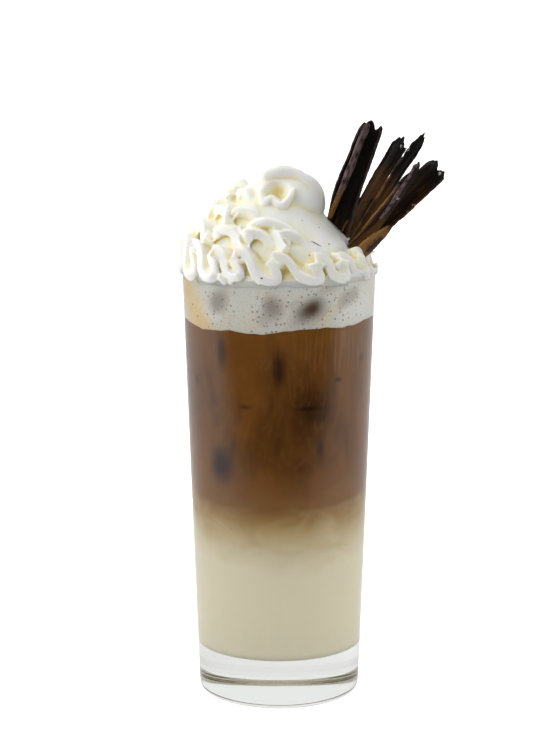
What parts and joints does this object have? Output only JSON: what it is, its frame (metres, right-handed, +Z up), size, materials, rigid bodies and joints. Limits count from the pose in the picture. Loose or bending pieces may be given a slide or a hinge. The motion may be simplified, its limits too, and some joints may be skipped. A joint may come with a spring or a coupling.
{
  "type": "iced layered latte in a tall glass",
  "caption": "Iced latte in a tall glass: milk, coffee and foam in layers, topped with piped whipped cream and charred curled cinnamon bark.",
  "frame": {"origin": "centre of the glass's flat underside", "axes": "+Z up along the axis of the glass, -Y towards the front"},
  "size_m": [0.0956, 0.0705, 0.2106],
  "materials": {
    "clear_glass": "clear and polished",
    "milk": null,
    "milky_coffee": null,
    "milk_foam": null,
    "whipped_cream": null,
    "cinnamon_bark": "dry charred bark"
  },
  "bodies": {
    "root": {"glass": "clear_glass", "milk_layer": "milk", "coffee_layer": "milky_coffee", "foam_layer": "milk_foam", "whipped_cream": "whipped_cream", "left_quill": "cinnamon_bark", "right_quill": "cinnamon_bark"}
  },
  "joints": []
}
